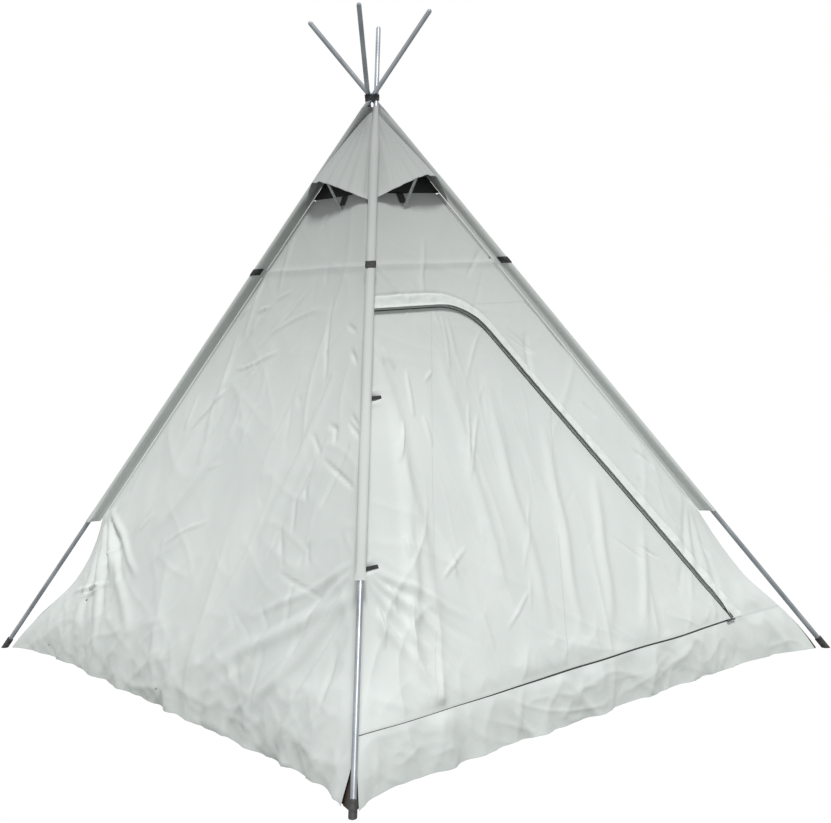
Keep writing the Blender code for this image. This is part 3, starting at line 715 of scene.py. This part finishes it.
for corner in CORNERS:
    steps = 190
    low_end = SLEEVE_END + (0.018 if corner == "front" else -0.012)
    heights = [low_end + (SLEEVE_TOP - low_end) * i / steps for i in range(steps + 1)]
    bm = tube([sleeve_ring(corner, h) for h in heights])
    level = [e for e in bm.edges if abs(e.verts[0].co.z - e.verts[1].co.z) < 1e-6]
    bmesh.ops.subdivide_edges(bm, edges=level, cuts=1, smooth=0.6)
    sleeve = sewn(f"{corner}_sleeve", bm, sleeve_shaded_cloth, 0.0007)
    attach(sleeve, "tent_body")
    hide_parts(f"sleeve_{corner}")
    band = tube([sleeve_ring(corner, KEEPER_MIDDLE + z, swell) for z, swell in KEEPER_SHAPE])
    band = sewn(f"{corner}_sleeve_keeper", band, webbing_black, 0.0012)
    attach(band, "tent_body")
    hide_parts(f"sleeve_band_{corner}")

# ---- vents and hood ----
# Under the crossing each wall ends at a vent of black insect mesh. A hood of the tent's cloth covers all four
# vents, and on each side a short stiff strut fixed with hook tape props its lower edge away from the wall.
net_black, tree, shader = finish("vent_net", (0.025, 0.028, 0.028), 0.9)
holes = grain(tree, 480, kind="ShaderNodeTexVoronoi")
tint(tree, shader, holes, (0.05, 0.053, 0.053), (0.008, 0.008, 0.008), 0.2, 0.6)
relief(tree, shader, holes, 0.6, 0.0006)
recolour(nodes["vent_mesh"], net_black)

stay_grey, tree, shader = finish("strut_grey", (0.30, 0.32, 0.32), 0.55)
tint(tree, shader, grain(tree, 90), (0.24, 0.255, 0.255), (0.36, 0.38, 0.38))

HOOD_CORNER = 1.812
HOOD_MIDDLE = 1.862
HOOD_TOP = 2.175
HOOD_PROP = 0.088
HOOD_PEAK = 0.30
PATCH_MIDDLE = 1.826
PATCH_ASIDE = 0.030
PATCH_WIDTH = 0.034
PATCH_HEIGHT = 0.036
OUTER_SIDE = {"front_right": 1, "front_left": -1, "back_right": -1, "back_left": 1}


def hood_point(face, share, up):
    """share runs from -1 at the left corner to 1 at the right one."""
    seed = SEEDS[face]
    beyond = (share - HOOD_PEAK * OUTER_SIDE[face]) * OUTER_SIDE[face]
    if beyond > 0:
        away = max(0.0, beyond - 0.12) / (0.88 - HOOD_PEAK)
    else:
        away = max(0.0, -beyond - 0.08) / (0.92 + HOOD_PEAK)
    arch = 1 - min(1.0, away) ** (1.9 if beyond > 0 else 1.25)
    foot = HOOD_CORNER + (HOOD_MIDDLE - HOOD_CORNER) * arch
    h = foot + (HOOD_TOP - foot) * up
    half = plane_out(h) + 0.004
    lift = 0.005 + HOOD_PROP * arch * (1 - up) ** 0.9
    lift += 0.004 * noise.noise(Vector((share * 4, up * 2, seed))) * (1 - abs(share))
    lift += 0.0035 * sin(share * 23 + seed) * (1 - up) * (1 - share * share)
    lift -= 0.010 * exp(-(((abs(share) - 0.80) / 0.10) ** 2)) * (1 - up) * smooth(up / 0.1 + 0.4)
    outward = heading(FACES[face])
    right = Vector((-outward.y, outward.x, 0))
    level = outward * (plane_out(h) + lift * cos(LEAN)) + right * (share * half)
    return level + Vector((0, 0, h + lift * sin(LEAN)))


for face, angle in FACES.items():
    outward = heading(angle)
    middle = outward * (plane_out(1.9) + 0.08) + Vector((0, 0, 1.9))
    for side, word in ((-1, "left"), (1, "right")):

        def hood_place(across, up):
            share = across - 1 if side < 0 else across
            return hood_point(face, share, up)

        part = sewn(f"{face}_hood_{word}", sheet_grid(60, 80, hood_place), cloth_pale, 0.001)
        if side < 0:
            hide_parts(f"hood_flap_{face}")
        corner = hood_point(face, side, 0.2)
        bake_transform(part)
    recolour(nodes[f"vent_strut_{face}"], stay_grey)

    def patch_place(across, up):
        x = -OUTER_SIDE[face] * PATCH_ASIDE + (across - 0.5) * PATCH_WIDTH
        return wall_point(face, x, PATCH_MIDDLE + (up - 0.5) * PATCH_HEIGHT, 0.0022)

    patch = sewn(f"{face}_hook_tape", sheet_grid(8, 8, patch_place), webbing_black, 0.0015)
    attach(patch, "tent_body")

# ---- groundsheet ----
# A square sheet of dark brown coated cloth on the ground. Its corners fold up and reach out to the poles' feet.
ground_brown, tree, shader = finish("groundsheet_cloth", (0.045, 0.032, 0.028), 0.6)
tint(tree, shader, grain(tree, 6), (0.035, 0.024, 0.02), (0.062, 0.045, 0.04))
relief(tree, shader, grain(tree, 900), 0.15, 0.0004)


def floor_place(across, up):
    a = (across - 0.5) * 2 * (HEM_OUT - 0.009)
    b = (up - 0.5) * 2 * (HEM_OUT - 0.009)
    x = (a - b) / sqrt(2)
    y = (a + b) / sqrt(2)
    edge = min(1 - abs(across - 0.5) * 2, 1 - abs(up - 0.5) * 2)
    z = 0.0022 + 0.004 * max(0.0, noise.noise(Vector((x * 3, y * 3, 0)))) * smooth(edge / 0.1)
    return Vector((x, y, z))


floor_cloth = sewn("ground_cloth", sheet_grid(90, 90, floor_place), ground_brown, 0.001)
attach(floor_cloth, "tent_body")
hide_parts("floor_sheet")

for corner, angle in CORNERS.items():
    outward = heading(angle)
    left_face = next(face for face, pair in CORNERS_OF.items() if pair[1] == corner)
    right_face = next(face for face, pair in CORNERS_OF.items() if pair[0] == corner)

    def gusset_place(across, up):
        side = -1 if across < 0.5 else 1
        face = right_face if side > 0 else left_face
        h = 0.150 * up
        reach = abs(across - 0.5) * 2 * (0.045 + 1.5 * CORNER_SPLIT[corner] * (1 - up))
        fold = 0.004 * cos(across * 16) * (1 - up)
        x = plane_out(h) - pull(corner, h) - reach
        if abs(across - 0.5) < 1e-6:
            return outward * ((x - 0.007 + fold) * sqrt(2)) + Vector((0, 0, max(0.0015, h)))
        return wall_point(face, -side * x, h, fold - 0.007)

    grid = sheet_grid(28, 26, gusset_place)
    gusset = sewn(f"{corner}_ground_corner", grid, ground_brown, 0.0012)
    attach(gusset, "tent_body")
    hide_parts(f"corner_gusset_{corner}")

# ---- setting ----
# A white floor and a white sky, with a soft sun high in front.
floor_bm = bmesh.new()
bmesh.ops.create_grid(floor_bm, x_segments=1, y_segments=1, size=40)
floor_mesh = bpy.data.meshes.new("floor")
floor_bm.to_mesh(floor_mesh)
floor_bm.free()
floor = bpy.data.objects.new("floor", floor_mesh)
floor.location.z = -0.0005
bpy.context.collection.objects.link(floor)
floor_white, tree, shader = finish("floor_white", (0.42, 0.43, 0.42), 0.9)
floor_mesh.materials.append(floor_white)
ray = tree.nodes.new("ShaderNodeLightPath")
glow = tree.nodes.new("ShaderNodeEmission")
glow.inputs["Strength"].default_value = 1.12
seen = tree.nodes.new("ShaderNodeMath")
seen.operation = "MULTIPLY"
seen.inputs[1].default_value = 0.85
cover = tree.nodes.new("ShaderNodeMixShader")
tree.links.new(ray.outputs["Is Camera Ray"], seen.inputs[0])
tree.links.new(seen.outputs[0], cover.inputs["Fac"])
tree.links.new(shader.outputs["BSDF"], cover.inputs[1])
tree.links.new(glow.outputs["Emission"], cover.inputs[2])
tree.links.new(cover.outputs[0], tree.nodes["Material Output"].inputs["Surface"])

world = bpy.data.worlds.new("sky")
bpy.context.scene.world = world
world.use_nodes = True
tree = world.node_tree
back = tree.nodes["Background"]
ray = tree.nodes.new("ShaderNodeLightPath")
mix = tree.nodes.new("ShaderNodeMix")
mix.data_type = "RGBA"
mix.inputs["A"].default_value = (0.395, 0.405, 0.42, 1)
mix.inputs["B"].default_value = (1, 1, 1, 1)
most = tree.nodes.new("ShaderNodeMath")
most.operation = "MAXIMUM"
tree.links.new(ray.outputs["Is Camera Ray"], most.inputs[0])
tree.links.new(ray.outputs["Is Glossy Ray"], most.inputs[1])
tree.links.new(most.outputs[0], mix.inputs["Factor"])
tree.links.new(mix.outputs["Result"], back.inputs["Color"])

sun_data = bpy.data.lights.new("sun", "SUN")
sun_data.energy = 2.75
sun_data.angle = radians(14)
sun = bpy.data.objects.new("sun", sun_data)
sun.matrix_world = Vector((0.10, -0.36, 0.93)).to_track_quat("Z", "Y").to_matrix().to_4x4()
bpy.context.collection.objects.link(sun)

camera_data = bpy.data.cameras.new("camera")
camera_data.lens = 54.45
camera_data.sensor_width = 36
camera_data.shift_x = 0.1778
camera_data.shift_y = 0.0322
camera = bpy.data.objects.new("camera", camera_data)
turn = Matrix(((0.98524, 0.028, 0.16889), (0.16433, 0.12197, -0.97884), (-0.04801, 0.99214, 0.11557)))
camera.matrix_world = Matrix.Translation((0.3946, -5.0916, 1.4902)) @ turn.to_4x4()
bpy.context.collection.objects.link(camera)
bpy.context.scene.camera = camera
bpy.context.scene.view_settings.view_transform = "Standard"
